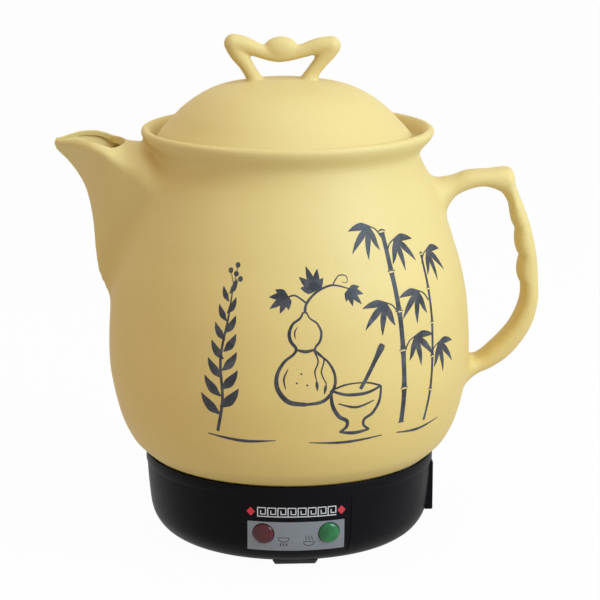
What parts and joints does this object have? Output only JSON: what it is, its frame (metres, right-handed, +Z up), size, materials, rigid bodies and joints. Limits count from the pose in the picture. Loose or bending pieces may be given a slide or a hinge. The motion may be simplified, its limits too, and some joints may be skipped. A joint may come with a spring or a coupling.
{
  "type": "herbal medicine pot",
  "caption": "Electric ceramic pot for simmering herbal medicine, with a pointed spout, a looped handle, a lift-off lid with a bow-shaped knob and a black base with two lamps.",
  "frame": {"origin": "centre of the bottom cover's flat underside, on the pot's axis, 3 mm above the feet's pads", "axes": "+Z up along the pot's axis, +X to the handle, -X to the spout, -Y to the front with the lamps"},
  "size_m": [0.2705, 0.2016, 0.2804],
  "materials": {
    "ceramic": "matte, unglazed look",
    "black_plastic": "satin",
    "grey_plastic": "satin",
    "red_lens": "glossy, tinted",
    "green_lens": "glossy, tinted",
    "rubber": "matte",
    "silicone": "matte",
    "steel": "plain",
    "aluminium": "as cast",
    "brass": "plain",
    "porcelain": "glazed",
    "glass": "clear",
    "brown_lead": "matte",
    "blue_lead": "matte",
    "green_lead": "matte",
    "red_lead": "matte"
  },
  "bodies": {
    "pot_on_base": {"base_housing": "black_plastic", "bond_ring": "silicone", "bottom_cover": "black_plastic", "bush_live": "porcelain", "bush_neutral": "porcelain", "ceramic_pot": "ceramic", "cover_screw_1": "steel", "cover_screw_2": "steel", "cover_screw_3": "steel", "cover_screw_4": "steel", "foot_back": "rubber", "foot_front": "rubber", "foot_left": "rubber", "foot_right": "rubber", "fuse_clip": "steel", "heat_shield": "steel", "heating_element": "steel", "heating_plate": "aluminium", "indicator_plate": "grey_plastic", "inlet_pin_earth": "brass", "inlet_pin_live": "brass", "inlet_pin_neutral": "brass", "inlet_screw_1": "steel", "inlet_screw_2": "steel", "inlet_socket": "black_plastic", "lamp_holder_cook": "black_plastic", "lamp_holder_warm": "black_plastic", "lead_earth": "green_lead", "lead_fuse": "brown_lead", "lead_lamp_cook": "red_lead", "lead_lamp_warm": "red_lead", "lead_live": "brown_lead", "lead_neutral": "blue_lead", "lead_thermostat": "brown_lead", "lens_cook": "red_lens", "lens_warm": "green_lens", "neon_bulb_cook": "glass", "neon_bulb_warm": "glass", "plate_screw_1": "steel", "plate_screw_2": "steel", "plate_screw_3": "steel", "shield_screw_1": "steel", "shield_screw_2": "steel", "shield_screw_3": "steel", "shield_screw_4": "steel", "thermal_fuse": "aluminium", "thermostat": "porcelain", "thermostat_bracket": "steel"},
    "lid": {"ceramic_lid": "ceramic"}
  },
  "joints": [
    {"name": "lid_lift", "type": "slide", "parent": "pot_on_base", "child": "lid", "axis": [0, 0, 1], "range_m": [0, 0.08]}
  ]
}
